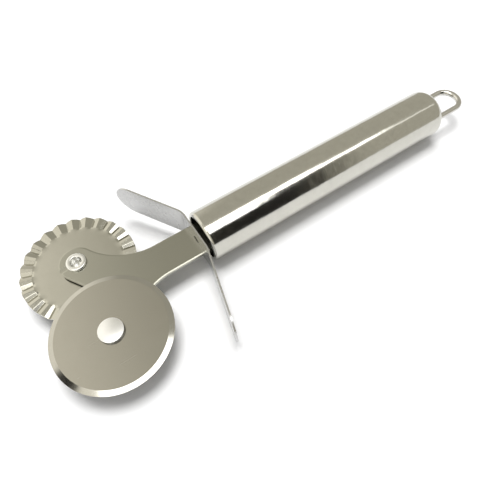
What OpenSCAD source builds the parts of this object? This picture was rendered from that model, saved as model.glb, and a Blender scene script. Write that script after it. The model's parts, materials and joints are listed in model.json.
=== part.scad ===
// Two-wheel pastry cutter: a plain bevelled wheel and a fluted wheel on one forked plate,
// with a bent finger guard and a hollow tube handle that ends in a hanging loop.
// The tool lies on a table: the handle's side and the lower edge of one guard wing touch Z = 0.
// Tool axes before it is laid down: +X from the handle to the wheels, +Z out of the plate's face.

/* [Handle] */
// Outer diameter of the handle tube
handle_d = 20; // [18:0.5:22]
// Length of the handle from its mouth to the top of its domed end
handle_len = 116; // [100:0.5:130]
// Wall of the handle tube
handle_wall = 0.8; // [0.6:0.1:1]
// Outer radius of the lip turned in at the mouth
lip_r = 1.2; // [1:0.1:1.4]
// Outer radius of the shoulder round the domed end
shoulder_r = 4; // [3:0.5:5]
// Radius of the crown across the domed end
crown_r = 15; // [14:1:20]

/* [Hanging loop] */
// Diameter of the loop's wire
wire_d = 2.5; // [2:0.1:2.6]
// Radius of the loop's bend, to the middle of the wire
loop_r = 5.45; // [5.2:0.05:5.6]
// Straight part of the loop that shows behind the handle
loop_straight = 9.9; // [8:0.1:12]
// Length of each leg inside the handle
loop_inside = 5; // [4:0.5:6]
// How far the upset end of a leg stands out round the wire
upset_rim = 0.6; // [0.4:0.1:0.8]
// Length of the upset end
upset_len = 1.2; // [1:0.1:1.5]

/* [Forked plate] */
// Thickness of the plate
plate_t = 1.2; // [1:0.1:1.5]
// Width of the neck and of the tang
neck_w = 13; // [12:0.5:13.5]
// Place along X where the neck starts to widen into the arms
neck_end = 16; // [14:0.5:17]
// Radius of each arm's rounded end
arm_end_r = 6.4; // [6:0.1:6.6]
// Place along X of the point of the crotch, before it is rounded
crotch_x = 40; // [39:0.5:41]
// Radius that rounds the crotch
crotch_r = 4; // [3:0.5:5]
// How far the tang reaches into the handle
tang_len = 26; // [22:1:30]
// Radius at the corners of the tang's end
tang_round = 2; // [1:0.5:3]

/* [Wheels] */
// Place of both wheel axles along X
axle_x = 42.4; // [42:0.1:43]
// Distance of each wheel axle from the handle's axis
axle_y = 15.6; // [15.4:0.1:16]
// Height of each wheel's middle plane over or under the plate's middle plane
wheel_z = 2.05; // [2.05:0.01:2.1]
// Diameter of the plain wheel
plain_d = 40.6; // [38:0.1:42]
// Thickness of the plain wheel
plain_t = 1.2; // [1:0.05:1.2]
// Width of the ground bevel at the plain wheel's edge
bevel_w = 1.8; // [1:0.1:2.5]
// Flat left at the tip of the bevel
edge_t = 0.15; // [0.1:0.05:0.3]
// Diameter of the fluted wheel over its flutes
fluted_d = 41.9; // [39:0.1:42]
// Thickness of the fluted wheel
fluted_t = 1; // [0.8:0.05:1]
// Number of flutes
flutes = 24; // [18:1:30]
// Height of a flute's ridge at the rim, from the wheel's middle plane
flute_h = 0.7; // [0.5:0.05:0.75]
// Length of the flutes along the radius
flute_len = 4.6; // [3.5:0.1:5]
// How far the flat disc laps over the flutes' inner ends
flute_lap = 0.4; // [0.3:0.1:1]
// Bore of both wheels
wheel_bore_d = 6.1; // [6.05:0.01:6.15]

/* [Rivets and spacers] */
// Diameter of the rivet's shoulder, on which the wheel turns
shoulder_d = 6; // [5.95:0.01:6]
// Gap from the plate's face to the underside of the rivet's head
grip = 2.1; // [2.1:0.05:2.2]
// Diameter of the rivet's head
head_d = 8.6; // [8:0.1:9]
// Height of the straight side of the head
head_side = 0.9; // [0.6:0.1:1]
// Rise of the head's low dome
head_dome = 0.6; // [0.4:0.1:0.8]
// Outer diameter of the rivet's tenon in the plate's hole
tenon_d = 5; // [4.6:0.1:5.2]
// Bore of the hollow tenon
tenon_bore_d = 3.9; // [3.4:0.1:4]
// Chamfer inside the mouth of the hollow tenon
tenon_chamfer = 0.2; // [0.1:0.05:0.3]
// Outer diameter of the rolled end of the tenon
roll_d = 7.3; // [7:0.1:7.6]
// Height of the rolled end
roll_h = 1.2; // [0.8:0.1:1.2]
// Outer diameter of the spacer washer
spacer_d = 9; // [8.6:0.1:9.4]
// Thickness of the spacer washer
spacer_t = 0.8; // [0.75:0.05:0.8]

/* [Finger guard] */
// Thickness of the guard strip
guard_t = 0.6; // [0.5:0.1:0.8]
// Height of the guard strip
guard_h = 14; // [12:0.5:15]
// Place along X of the guard's front face
guard_x = 2.2; // [2:0.1:3]
// Half width of the guard's flat middle
guard_flat = 7.4; // [7.2:0.1:8]
// Inside radius of the two bends
guard_bend_r = 7; // [5:0.5:9]
// Angle of the bend on the plain wheel's side
bend_plain = 14.6; // [10:0.1:30]
// Angle of the bend on the fluted wheel's side
bend_fluted = 31; // [20:0.1:40]
// Length of the wing on the plain wheel's side, from its bend to its tip
wing_plain = 32; // [28:0.5:34]
// Length of the wing on the fluted wheel's side, from its bend to its tip
wing_fluted = 28.2; // [26:0.1:32]
// Diameter of the round relief in the middle of the guard's slot
relief_d = 3.8; // [3:0.1:5]

/* [Tang plug] */
// Length of the plug that holds the tang in the tube
plug_len = 14; // [10:1:18]
// Depth of the plug's front face behind the handle's mouth
plug_depth = 7; // [5:0.5:10]

/* [Hidden] */
$fn = 96;
// How far a cutter runs past what it cuts, and a length beyond that of the whole tool
past = 1;
big = 200;
handle_r = handle_d / 2;
bore_r = handle_r - handle_wall;
plate_half = plate_t / 2;

// Plain wheel and its side of the plate: +Y and above. Fluted wheel: -Y and below.
plain_r = plain_d / 2;
fluted_r = fluted_d / 2;
tail_len = plate_t + roll_h;

// Loop
wire_r = wire_d / 2;
loop_x = -handle_len - loop_straight;
leg_len = loop_straight + loop_inside;
loop_hole_r = wire_r + 0.05;

// Outer curve of an arm: a circle that is tangent to the neck's edge and to the arm's round end
side_y = neck_w / 2;
run = axle_x - neck_end;
rise = axle_y - side_y;
flank_r = (run * run + rise * rise - arm_end_r * arm_end_r) / (2 * (arm_end_r + rise));
flank = [neck_end, side_y + flank_r];
axle = [axle_x, axle_y];
to_flank = flank - axle;
arm_touch = axle + to_flank * arm_end_r / norm(to_flank);

// Inner edge of an arm: the line from the crotch's point that is tangent to the round end
to_axle = axle - [crotch_x, 0];
crotch_angle = atan2(to_axle[1], to_axle[0]) - asin(arm_end_r / norm(to_axle));
edge_len = sqrt(norm(to_axle) * norm(to_axle) - arm_end_r * arm_end_r);
edge_dir = [cos(crotch_angle), sin(crotch_angle)];
inner_touch = [crotch_x, 0] + edge_dir * edge_len;
crotch_fill = 0.98 * crotch_r / tan(crotch_angle);
crotch_centre = crotch_x + crotch_r / sin(crotch_angle);

// Flutes: ridges and furrows take turns, and the flat facets between them aim at the centre
panels = 2 * flutes;
panel_angle = 360 / panels;
flute_r0 = fluted_r - flute_len;
disc_r = flute_r0 + flute_lap;

// Guard: both bends turn about points at the same distance in front of its flat middle
wing_r = guard_h / 2;
bend_r = guard_bend_r + guard_t / 2;
bend_x = guard_x + guard_bend_r;
// Straight steps round each of the guard's bends
bend_steps = 8;
// How much narrower than the guard's strip the discs of its round ends are
tip_step = 0.03;

// Lying pose: the roll about the handle's axis that brings the wing's lower edge to the table
wing_round = wing_plain - wing_r;
bend_end_y = guard_flat + bend_r * sin(bend_plain);
wing_round_y = bend_end_y + wing_round * cos(bend_plain) + guard_t / 2 * sin(bend_plain);
roll = asin((handle_r - wing_r) / wing_round_y);

// The origin is under the middle of the lying tool's box
front_x = axle_x + fluted_r;
rear_x = loop_x - loop_r - wire_r;
tip_y = wing_round_y * cos(roll) + wing_r * cos(bend_plain);
rim_y = (axle_y + fluted_r) * cos(roll) + (wheel_z + flute_h / 2 + fluted_t / 2) * sin(roll);
centre = [(front_x + rear_x) / 2, (tip_y - rim_y) / 2];

// Lays a sub-part down from the tool's own axes onto the table
module lie_down() {
    translate([-centre[0], -centre[1], handle_r]) rotate([-roll, 0, 0]) children();
}

// Turns a profile drawn as (radius, distance along X) into a solid of revolution about X
module about_x() {
    rotate([0, 90, 0]) rotate_extrude() children();
}

// Filled outline of half the handle, drawn with radius across and X upwards
module handle_profile(r, front, rear, front_round, rear_round, crown) {
    intersection() {
        union() {
            translate([0, rear + rear_round]) square([r, front - rear - rear_round - front_round]);
            translate([0, rear]) square([r - rear_round, rear_round]);
            translate([r - rear_round, rear + rear_round]) circle(rear_round);
            translate([0, front - front_round]) square([r - front_round, front_round]);
            translate([r - front_round, front - front_round]) circle(front_round);
        }
        union() {
            translate([0, rear + crown]) circle(crown);
            translate([0, rear + crown]) square([r, front - rear]);
        }
        translate([0, -big]) square([r, 2 * big]);
    }
}

// Deep-drawn tube: closed domed end, turned-in lip at the mouth, two holes for the loop
module handle_tube() {
    color([0.72, 0.71, 0.68]) lie_down() difference() {
        about_x() difference() {
            handle_profile(handle_r, 0, -handle_len, lip_r, shoulder_r, crown_r);
            handle_profile(bore_r, -handle_wall, handle_wall - handle_len,
                           lip_r - handle_wall, shoulder_r - handle_wall, crown_r - handle_wall);
            translate([0, -2 * lip_r]) square([handle_r - lip_r, 3 * lip_r]);
        }
        for (side = [-1, 1])
            translate([-handle_len - past, side * loop_r, 0]) rotate([0, 90, 0])
                cylinder(r = loop_hole_r, h = loop_inside + past);
    }
}

// Wire bent to a U, its legs passed through the domed end and upset behind it
module hanging_loop() {
    color([0.78, 0.77, 0.75]) lie_down() {
        translate([loop_x, 0, 0]) rotate([0, 0, 90]) rotate_extrude(angle = 180)
            translate([loop_r, 0]) circle(wire_r);
        for (side = [-1, 1]) translate([loop_x, side * loop_r, 0]) rotate([0, 90, 0]) {
            cylinder(r = wire_r, h = leg_len);
            translate([0, 0, leg_len - upset_len]) cylinder(r = wire_r + upset_rim, h = upset_len);
        }
    }
}

// Round plug inside the tube, slotted for the tang
module tang_plug() {
    color([0.1, 0.1, 0.1]) lie_down() difference() {
        translate([-plug_depth - plug_len, 0, 0]) rotate([0, 90, 0])
            cylinder(r = bore_r, h = plug_len);
        translate([-plug_depth - plug_len - past, -side_y, -plate_half])
            cube([plug_len + 2 * past, neck_w, plate_t]);
    }
}

// One arm's half of the plate, on the +Y side and lapped over the middle line
module half_plate() {
    lap = 1;
    flank_web = 4;
    past_touch = arm_touch + to_flank / norm(to_flank);
    linear_extrude(plate_t) difference() {
        polygon([[-tang_len + tang_round, -lap], [-tang_len + tang_round, side_y],
                 [neck_end, side_y], [neck_end, side_y + flank_web], past_touch, axle,
                 inner_touch, [crotch_x - lap / tan(crotch_angle), -lap]]);
        translate(flank) circle(flank_r, $fn = 192);
    }
    translate(axle) cylinder(r = arm_end_r, h = plate_t);
    translate([-tang_len, -lap, 0]) cube([tang_round + lap, side_y - tang_round + lap, plate_t]);
    translate([-tang_len + tang_round, side_y - tang_round, 0]) cylinder(r = tang_round, h = plate_t);
}

// Flat stamped plate: tang, neck and two arms, with a hole for each rivet's tenon
module fork_plate() {
    color([0.66, 0.65, 0.6]) lie_down() translate([0, 0, -plate_half]) difference() {
        union() {
            half_plate();
            mirror([0, 1, 0]) half_plate();
            linear_extrude(plate_t)
                polygon([[crotch_x - past, 0],
                         [crotch_x + edge_dir[0] * crotch_fill, edge_dir[1] * crotch_fill],
                         [crotch_x + edge_dir[0] * crotch_fill, -edge_dir[1] * crotch_fill]]);
        }
        translate([crotch_centre, 0, -past]) cylinder(r = crotch_r, h = plate_t + 2 * past);
        for (side = [-1, 1])
            translate([axle_x, side * axle_y, -past]) cylinder(d = tenon_d, h = plate_t + 2 * past);
    }
}

// One bend's face, from the flat middle outwards; r is the face's radius about the turning point
function bend_face(side, bend, r) =
    [for (i = [0 : bend_steps]) let (a = bend * i / bend_steps)
         [bend_x - r * cos(a), side * (guard_flat + r * sin(a))]];

// Where a wing's face ends, past its bend
function wing_end(side, bend, r, length) =
    [bend_x - r * cos(bend) + length * sin(bend),
     side * (guard_flat + r * sin(bend) + length * cos(bend))];

// The strip seen from above: half of its outline, from the middle to one tip and back
function half_strip(side, bend, length) =
    [each bend_face(side, bend, guard_bend_r),
     wing_end(side, bend, guard_bend_r, length),
     wing_end(side, bend, guard_bend_r + guard_t, length),
     for (i = [bend_steps : -1 : 0]) bend_face(side, bend, guard_bend_r + guard_t)[i]];

// The round end of a wing, a hair narrower than the strip, so their edges cross
module wing_tip(side, bend, length) {
    translate([bend_x, side * guard_flat, 0]) rotate([0, 0, -side * bend])
        translate([-guard_bend_r - guard_t, side * length, 0]) rotate([0, 90, 0])
            cylinder(r = wing_r - tip_step, h = guard_t);
}

// Sheet strip slipped over the neck through its slot, both wings bent forward
module finger_guard() {
    plain_half = half_strip(1, bend_plain, wing_plain - wing_r);
    fluted_half = half_strip(-1, bend_fluted, wing_fluted - wing_r);
    color([0.84, 0.84, 0.84]) lie_down() difference() {
        union() {
            translate([0, 0, -wing_r]) linear_extrude(guard_h)
                polygon([each plain_half,
                         for (i = [len(fluted_half) - 1 : -1 : 0]) fluted_half[i]]);
            wing_tip(1, bend_plain, wing_plain - wing_r);
            wing_tip(-1, bend_fluted, wing_fluted - wing_r);
        }
        translate([guard_x - guard_t - past, -side_y, -plate_half])
            cube([guard_t + 2 * past, neck_w, plate_t]);
        translate([guard_x - guard_t - past, 0, 0]) rotate([0, 90, 0])
            cylinder(d = relief_d, h = guard_t + 2 * past);
    }
}

// Flat disc with a bevel ground on both sides
module plain_wheel() {
    color([0.7, 0.69, 0.64]) lie_down() translate([axle_x, axle_y, wheel_z]) rotate_extrude()
        polygon([[wheel_bore_d / 2, -plain_t / 2], [plain_r - bevel_w, -plain_t / 2],
                 [plain_r, -edge_t / 2], [plain_r, edge_t / 2],
                 [plain_r - bevel_w, plain_t / 2], [wheel_bore_d / 2, plain_t / 2]]);
}

// Corner of the fluted band: k counts ridges and furrows, side is 1 on top and -1 below
function flute_point(k, r, side) =
    let (a = k * panel_angle, up = (k % 2 == 0 ? 1 : -1) * flute_h * r / fluted_r)
    [r * cos(a), r * sin(a), up + side * fluted_t / 2];

// Ring of flat facets folded up and down, a little wider than the finished wheel
module fluted_band() {
    reach = fluted_r + past;
    polyhedron(
        points = [for (k = [0 : panels - 1], r = [flute_r0, reach], side = [-1, 1])
                      flute_point(k, r, side)],
        faces = [for (k = [0 : panels - 1]) let (a = 4 * k, b = 4 * ((k + 1) % panels))
                     each [[a + 1, b + 1, b + 3, a + 3], [a, a + 2, b + 2, b],
                           [a + 2, a + 3, b + 3, b + 2], [a, b, b + 1, a + 1]]]);
}

// Pressed disc whose rim is folded into radial flutes
module fluted_wheel() {
    rim_h = fluted_t + 2 * flute_h + 2 * past;
    color([0.74, 0.73, 0.68]) lie_down() translate([axle_x, -axle_y, -wheel_z]) difference() {
        union() {
            cylinder(r = disc_r, h = fluted_t, center = true);
            intersection() {
                fluted_band();
                cylinder(r = fluted_r, h = rim_h, center = true);
            }
        }
        cylinder(d = wheel_bore_d, h = rim_h, center = true);
    }
}

// Semi-tubular shoulder rivet on the plate's face: its tenon goes down through the plate
// and is rolled over there, and its head is above
module rivet() {
    dome_r = (head_d * head_d / 4 + head_dome * head_dome) / (2 * head_dome);
    head_h = head_side + head_dome;
    bore = tenon_bore_d / 2;
    edge = roll_h / 2;
    difference() {
        union() {
            translate([0, 0, grip]) intersection() {
                cylinder(d = head_d, h = head_h);
                translate([0, 0, head_h - dome_r]) sphere(dome_r, $fn = 192);
            }
            cylinder(d = shoulder_d, h = grip);
            translate([0, 0, -tail_len]) cylinder(d = tenon_d, h = tail_len);
            translate([0, 0, -tail_len]) rotate_extrude() {
                translate([roll_d / 2 - edge, edge]) circle(edge);
                translate([bore, 0]) square([roll_d / 2 - edge - bore, roll_h]);
                translate([bore, edge]) square([roll_d / 2 - bore, edge]);
            }
        }
        translate([0, 0, -tail_len - past]) cylinder(r = bore, h = tail_len + past + grip / 2);
        translate([0, 0, -tail_len - tenon_chamfer])
            cylinder(r1 = bore + 2 * tenon_chamfer, r2 = bore, h = 2 * tenon_chamfer);
    }
}

// Ring between the plate and a wheel, round the rivet's shoulder
module washer() {
    translate([0, 0, spacer_t / 2]) difference() {
        cylinder(d = spacer_d, h = spacer_t, center = true);
        cylinder(d = shoulder_d, h = spacer_t + 2 * past, center = true);
    }
}

// Stands what follows on the plate's upper face at the plain wheel's axle
module at_plain_axle() {
    lie_down() translate([axle_x, axle_y, plate_half]) children();
}

// Hangs what follows under the plate's lower face at the fluted wheel's axle
module at_fluted_axle() {
    lie_down() translate([axle_x, -axle_y, -plate_half]) mirror([0, 0, 1]) children();
}

module plain_wheel_rivet() {
    color([0.86, 0.86, 0.86]) at_plain_axle() rivet();
}

module fluted_wheel_rivet() {
    color([0.86, 0.86, 0.86]) at_fluted_axle() rivet();
}

module plain_wheel_washer() {
    color([0.6, 0.6, 0.58]) at_plain_axle() washer();
}

module fluted_wheel_washer() {
    color([0.6, 0.6, 0.58]) at_fluted_axle() washer();
}

handle_tube();
hanging_loop();
tang_plug();
fork_plate();
finger_guard();
plain_wheel();
plain_wheel_rivet();
plain_wheel_washer();
fluted_wheel();
fluted_wheel_rivet();
fluted_wheel_washer();
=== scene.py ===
import json
import math

import bmesh
import bpy
from mathutils import Matrix, Vector


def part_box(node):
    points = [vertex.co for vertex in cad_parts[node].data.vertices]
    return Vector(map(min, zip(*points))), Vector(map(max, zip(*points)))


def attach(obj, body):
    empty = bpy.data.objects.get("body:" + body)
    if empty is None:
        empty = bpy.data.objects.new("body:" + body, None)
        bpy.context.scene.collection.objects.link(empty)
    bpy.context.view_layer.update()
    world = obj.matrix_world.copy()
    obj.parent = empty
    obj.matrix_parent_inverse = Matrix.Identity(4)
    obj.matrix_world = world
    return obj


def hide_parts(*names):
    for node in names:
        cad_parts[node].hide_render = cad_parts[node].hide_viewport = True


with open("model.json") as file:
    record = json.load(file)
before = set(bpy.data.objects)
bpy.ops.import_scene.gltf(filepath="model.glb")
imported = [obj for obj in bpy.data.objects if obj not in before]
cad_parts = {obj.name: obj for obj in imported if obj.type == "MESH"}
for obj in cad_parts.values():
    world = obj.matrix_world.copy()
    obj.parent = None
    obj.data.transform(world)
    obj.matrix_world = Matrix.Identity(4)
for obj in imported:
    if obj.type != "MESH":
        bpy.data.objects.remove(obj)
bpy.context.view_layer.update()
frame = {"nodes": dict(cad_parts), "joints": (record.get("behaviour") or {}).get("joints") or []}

bl_info = {
    "name": "Two-wheel pastry cutter",
    "version": (1, 0, 0),
    "blender": (4, 5, 0),
    "location": "3D View > Sidebar > Pastry cutter",
    "description": "Models the visible pieces of a two-wheel pastry cutter round its fixed frame",
    "category": "Object",
}

MM = 0.001
SMALLEST = 1e-7
JOINTS = {joint["name"]: joint for joint in frame["joints"]}
PLAIN_AXLE = Vector(JOINTS["plain_wheel_spin"]["pos_m"])
FLUTED_AXLE = Vector(JOINTS["fluted_wheel_spin"]["pos_m"])
# Out of the plate's upper face, and how far the tool has rolled about its handle to lie down
OUT = Vector(JOINTS["plain_wheel_spin"]["axis"])
ROLL = -math.atan2(OUT.y, OUT.z)
# Turns that bring the wheels' axis and the handle's axis to Z
WHEEL_TURN = (-ROLL, 0, 0)
HANDLE_TURN = (0, -math.pi / 2, 0)
HANDLE_LOW, HANDLE_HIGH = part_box("handle_tube")
HANDLE_RADIUS = (HANDLE_HIGH.y - HANDLE_LOW.y) / 2
# Middle of the handle's mouth: the tool's own origin, with +X towards the wheels
MOUTH = Vector((HANDLE_HIGH.x, (HANDLE_LOW.y + HANDLE_HIGH.y) / 2, HANDLE_LOW.z + HANDLE_RADIUS))


class HandleSizes(bpy.types.PropertyGroup):
    """Sizes of the handle and its loop."""

    radius: bpy.props.FloatProperty(
        name="Radius", description="Outer radius of the tube", subtype="DISTANCE",
        unit="LENGTH", default=HANDLE_RADIUS)
    wall: bpy.props.FloatProperty(
        name="Wall", description="Thickness of the tube's sheet", subtype="DISTANCE",
        unit="LENGTH", default=0.8 * MM)
    lip: bpy.props.FloatProperty(
        name="Lip", description="Outer radius of the lip turned in at the mouth",
        subtype="DISTANCE", unit="LENGTH", default=1.2 * MM)
    shoulder: bpy.props.FloatProperty(
        name="Shoulder", description="Radius of the shoulder round the domed end",
        subtype="DISTANCE", unit="LENGTH", default=4 * MM)
    crown: bpy.props.FloatProperty(
        name="Crown", description="Radius of the crown across the domed end",
        subtype="DISTANCE", unit="LENGTH", default=15 * MM)
    wire: bpy.props.FloatProperty(
        name="Wire", description="Radius of the loop's wire", subtype="DISTANCE",
        unit="LENGTH", default=1.25 * MM)
    loop: bpy.props.FloatProperty(
        name="Loop", description="Radius of the loop's bend, to the middle of the wire",
        subtype="DISTANCE", unit="LENGTH", default=5.45 * MM)
    upset: bpy.props.FloatProperty(
        name="Upset", description="Length of the loop's ends that its upset rims take up",
        subtype="DISTANCE", unit="LENGTH", default=1.2 * MM)


class SheetSizes(bpy.types.PropertyGroup):
    """Edges of the plate and of the guard."""

    plate_edge: bpy.props.FloatProperty(
        name="Plate edge", description="Round on the plate's stamped edges",
        subtype="DISTANCE", unit="LENGTH", default=0.18 * MM)
    roll_width: bpy.props.FloatProperty(
        name="Die roll", description="Width of the sloping rim round the plate's upper face",
        subtype="DISTANCE", unit="LENGTH", default=0.45 * MM)
    roll_height: bpy.props.FloatProperty(
        name="Roll height", description="How far the upper face stands above its rim",
        subtype="DISTANCE", unit="LENGTH", default=0.13 * MM)
    guard_edge: bpy.props.FloatProperty(
        name="Guard edge", description="Round on the guard's tumbled edges",
        subtype="DISTANCE", unit="LENGTH", default=0.2 * MM)


class WheelSizes(bpy.types.PropertyGroup):
    """Sizes of the two wheels and of their rivets."""

    bore: bpy.props.FloatProperty(
        name="Bore", description="Radius of both wheels' bore", subtype="DISTANCE",
        unit="LENGTH", default=3.05 * MM)
    plain_radius: bpy.props.FloatProperty(
        name="Plain wheel", description="Radius of the plain wheel", subtype="DISTANCE",
        unit="LENGTH", default=20.3 * MM)
    plain_thickness: bpy.props.FloatProperty(
        name="Plain thickness", description="Thickness of the plain wheel",
        subtype="DISTANCE", unit="LENGTH", default=1.2 * MM)
    bevel_width: bpy.props.FloatProperty(
        name="Bevel width", description="Width of the ground bevel", subtype="DISTANCE",
        unit="LENGTH", default=1.8 * MM)
    edge: bpy.props.FloatProperty(
        name="Cutting edge", description="Flat left at the bevel's tip",
        subtype="DISTANCE", unit="LENGTH", default=0.15 * MM)
    fluted_radius: bpy.props.FloatProperty(
        name="Fluted wheel", description="Radius of the fluted wheel over its flutes",
        subtype="DISTANCE", unit="LENGTH", default=20.95 * MM)
    fluted_thickness: bpy.props.FloatProperty(
        name="Fluted thickness", description="Thickness of the fluted wheel's sheet",
        subtype="DISTANCE", unit="LENGTH", default=0.7 * MM)
    flutes: bpy.props.IntProperty(
        name="Flutes", description="Number of flutes round the rim", default=24)
    flute_height: bpy.props.FloatProperty(
        name="Flute height", description="Height of a ridge at the rim",
        subtype="DISTANCE", unit="LENGTH", default=0.42 * MM)
    flute_length: bpy.props.FloatProperty(
        name="Flute length", description="Length of a flute along the radius",
        subtype="DISTANCE", unit="LENGTH", default=5.1 * MM)
    flute_end: bpy.props.FloatProperty(
        name="Flute end", description="Length of the slope at a flute's inner end",
        subtype="DISTANCE", unit="LENGTH", default=0.8 * MM)
    fluted_edge: bpy.props.FloatProperty(
        name="Fluted edge", description="Round on the fluted wheel's folds and edges",
        subtype="DISTANCE", unit="LENGTH", default=0.1 * MM)
    plain_edge: bpy.props.FloatProperty(
        name="Plain edge", description="Round on the plain wheel's edges",
        subtype="DISTANCE", unit="LENGTH", default=0.05 * MM)
    head_radius: bpy.props.FloatProperty(
        name="Rivet head", description="Radius of a rivet's head", subtype="DISTANCE",
        unit="LENGTH", default=4.3 * MM)
    head_side: bpy.props.FloatProperty(
        name="Head side", description="Height of the head's straight side", subtype="DISTANCE",
        unit="LENGTH", default=0.95 * MM)
    head_dome: bpy.props.FloatProperty(
        name="Head dome", description="Height of the dome on the head", subtype="DISTANCE",
        unit="LENGTH", default=0.55 * MM)
    head_corner: bpy.props.FloatProperty(
        name="Head corner", description="Radius of the corner between dome and side",
        subtype="DISTANCE", unit="LENGTH", default=0.12 * MM)
    grip: bpy.props.FloatProperty(
        name="Grip", description="Length of the shoulder, from the plate to the head",
        subtype="DISTANCE", unit="LENGTH", default=2.1 * MM)
    shoulder: bpy.props.FloatProperty(
        name="Shoulder", description="Radius of the shoulder that the wheel turns on",
        subtype="DISTANCE", unit="LENGTH", default=3 * MM)
    tenon: bpy.props.FloatProperty(
        name="Tenon", description="Radius of the tenon through the plate", subtype="DISTANCE",
        unit="LENGTH", default=2.5 * MM)
    tenon_length: bpy.props.FloatProperty(
        name="Tenon length", description="Thickness of the plate", subtype="DISTANCE",
        unit="LENGTH", default=1.2 * MM)
    rivet_bore: bpy.props.FloatProperty(
        name="Rivet bore", description="Radius of the hollow in the rivet's tail",
        subtype="DISTANCE", unit="LENGTH", default=1.95 * MM)
    roll_radius: bpy.props.FloatProperty(
        name="Rolled end", description="Radius of a rivet's rolled end",
        subtype="DISTANCE", unit="LENGTH", default=3.65 * MM)
    roll_height: bpy.props.FloatProperty(
        name="Roll height", description="Height of the rolled end", subtype="DISTANCE",
        unit="LENGTH", default=1.2 * MM)
    stand_off: bpy.props.FloatProperty(
        name="Stand-off", description="From the plate's face to the middle of its wheel",
        subtype="DISTANCE", unit="LENGTH", default=1.45 * MM)


class FinishColours(bpy.types.PropertyGroup):
    """Colours of the finishes, each with that of its clouds of polish; the rivets' sides hold
    painted shade.
    """

    handle: bpy.props.FloatVectorProperty(
        name="Handle", description="Colour of the handle",
        subtype="COLOR", size=3, default=(0.63, 0.62, 0.57))
    handle_clouds: bpy.props.FloatVectorProperty(
        name="Handle: clouds", description="Colour of the clouds on the handle",
        subtype="COLOR", size=3, default=(0.5, 0.49, 0.44))
    wire: bpy.props.FloatVectorProperty(
        name="Loop", description="Colour of the loop's wire",
        subtype="COLOR", size=3, default=(0.66, 0.65, 0.62))
    wire_clouds: bpy.props.FloatVectorProperty(
        name="Loop: clouds", description="Colour of the clouds on the loop's wire",
        subtype="COLOR", size=3, default=(0.56, 0.55, 0.52))
    plate: bpy.props.FloatVectorProperty(
        name="Plate", description="Colour of the plate",
        subtype="COLOR", size=3, default=(0.415, 0.41, 0.355))
    plate_clouds: bpy.props.FloatVectorProperty(
        name="Plate: clouds", description="Colour of the clouds on the plate",
        subtype="COLOR", size=3, default=(0.375, 0.37, 0.32))
    guard: bpy.props.FloatVectorProperty(
        name="Guard", description="Colour of the finger guard",
        subtype="COLOR", size=3, default=(0.56, 0.56, 0.555))
    guard_clouds: bpy.props.FloatVectorProperty(
        name="Guard: clouds", description="Colour of the clouds on the finger guard",
        subtype="COLOR", size=3, default=(0.53, 0.53, 0.525))
    plain_wheel: bpy.props.FloatVectorProperty(
        name="Plain wheel", description="Colour of the plain wheel",
        subtype="COLOR", size=3, default=(0.45, 0.435, 0.385))
    plain_wheel_clouds: bpy.props.FloatVectorProperty(
        name="Plain wheel: clouds", description="Colour of the clouds on the plain wheel",
        subtype="COLOR", size=3, default=(0.41, 0.395, 0.345))
    bevel: bpy.props.FloatVectorProperty(
        name="Bevel", description="Colour of the ground bevel",
        subtype="COLOR", size=3, default=(0.5, 0.49, 0.45))
    bevel_clouds: bpy.props.FloatVectorProperty(
        name="Bevel: clouds", description="Colour of the clouds on the ground bevel",
        subtype="COLOR", size=3, default=(0.44, 0.43, 0.39))
    fluted_wheel: bpy.props.FloatVectorProperty(
        name="Fluted wheel", description="Colour of the fluted wheel",
        subtype="COLOR", size=3, default=(0.5, 0.49, 0.435))
    fluted_wheel_clouds: bpy.props.FloatVectorProperty(
        name="Fluted wheel: clouds", description="Colour of the clouds on the fluted wheel",
        subtype="COLOR", size=3, default=(0.44, 0.43, 0.375))
    head: bpy.props.FloatVectorProperty(
        name="Rivet heads", description="Colour of the rivets' heads",
        subtype="COLOR", size=3, default=(0.92, 0.92, 0.91))
    head_clouds: bpy.props.FloatVectorProperty(
        name="Rivet heads: clouds", description="Colour of the clouds on the rivets' heads",
        subtype="COLOR", size=3, default=(0.78, 0.78, 0.78))
    # The rivets' sides are near black: painted shade for the dark gap under each head, not the
    # steel's own colour
    side: bpy.props.FloatVectorProperty(
        name="Rivet sides", description="Colour of the rivets' turned sides",
        subtype="COLOR", size=3, default=(0.04, 0.04, 0.035))
    side_painted_shade_clouds: bpy.props.FloatVectorProperty(
        name="Rivet sides: clouds", description="Colour of the clouds on the rivets' turned sides",
        subtype="COLOR", size=3, default=(0.02, 0.02, 0.018))
    rolled_end: bpy.props.FloatVectorProperty(
        name="Rolled ends", description="Colour of the rivets' rolled ends",
        subtype="COLOR", size=3, default=(0.86, 0.86, 0.84))
    rolled_end_clouds: bpy.props.FloatVectorProperty(
        name="Rolled ends: clouds", description="Colour of the clouds on the rivets' rolled ends",
        subtype="COLOR", size=3, default=(0.74, 0.74, 0.72))
    washer: bpy.props.FloatVectorProperty(
        name="Washers", description="Colour of the washers",
        subtype="COLOR", size=3, default=(0.45, 0.44, 0.41))
    washer_clouds: bpy.props.FloatVectorProperty(
        name="Washers: clouds", description="Colour of the clouds on the washers",
        subtype="COLOR", size=3, default=(0.38, 0.37, 0.34))
    plug: bpy.props.FloatVectorProperty(
        name="Plug", description="Colour of the plastic plug",
        subtype="COLOR", size=3, default=(0.025, 0.025, 0.025))


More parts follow.
